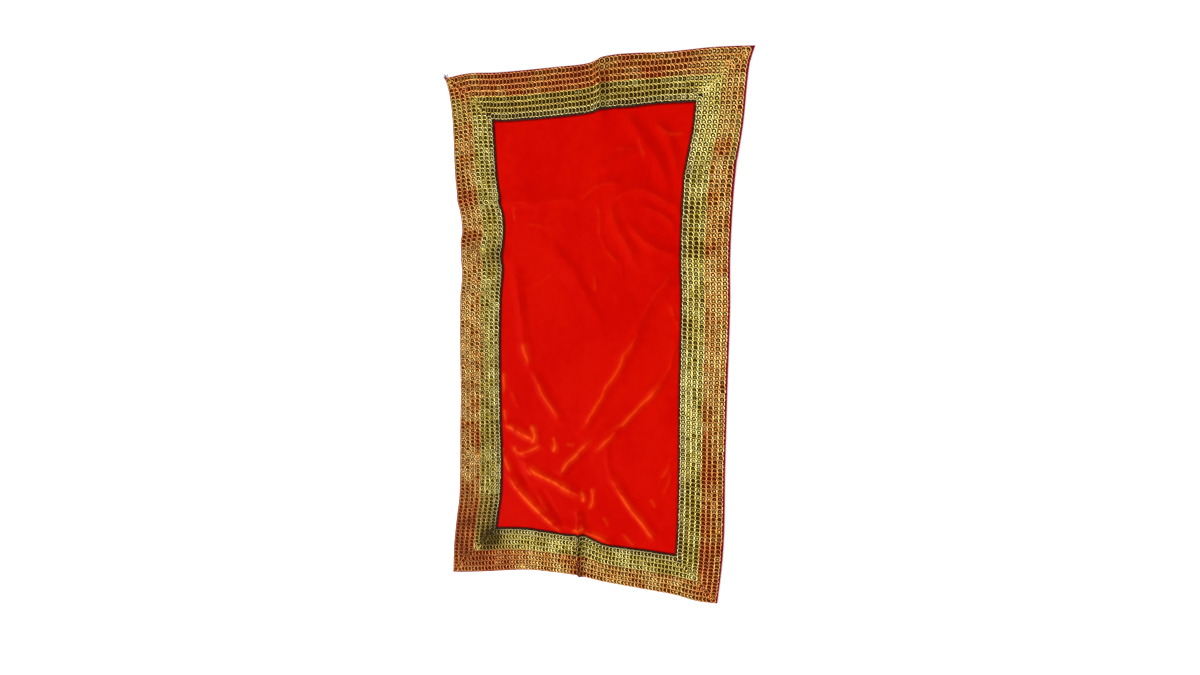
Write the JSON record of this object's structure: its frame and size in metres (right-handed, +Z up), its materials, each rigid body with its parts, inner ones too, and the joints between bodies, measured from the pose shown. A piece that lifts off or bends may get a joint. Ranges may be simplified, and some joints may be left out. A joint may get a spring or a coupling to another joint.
{
  "type": "altar cloth",
  "caption": "Rectangular velvet altar cloth lying flat, with a turned hem and a wide mitred sequin border in copper and pale gold.",
  "frame": {"origin": "on the table, under the middle of the cloth's box", "axes": "+Y along the cloth's length to its far end, +X across it to the right, +Z up from the table"},
  "size_m": [0.369, 0.629, 0.0128],
  "materials": {
    "velvet": "red velvet with a short pile",
    "copper_sequins": "metallised copper sequins on net tape",
    "pale_gold_sequins": "metallised pale green gold sequins on net tape"
  },
  "bodies": {
    "root": {"velvet_panel": "velvet", "outer_trim_near": "copper_sequins", "outer_trim_far": "copper_sequins", "outer_trim_left": "copper_sequins", "outer_trim_right": "copper_sequins", "inner_trim_near": "pale_gold_sequins", "inner_trim_far": "pale_gold_sequins", "inner_trim_left": "pale_gold_sequins", "inner_trim_right": "pale_gold_sequins"}
  },
  "joints": []
}
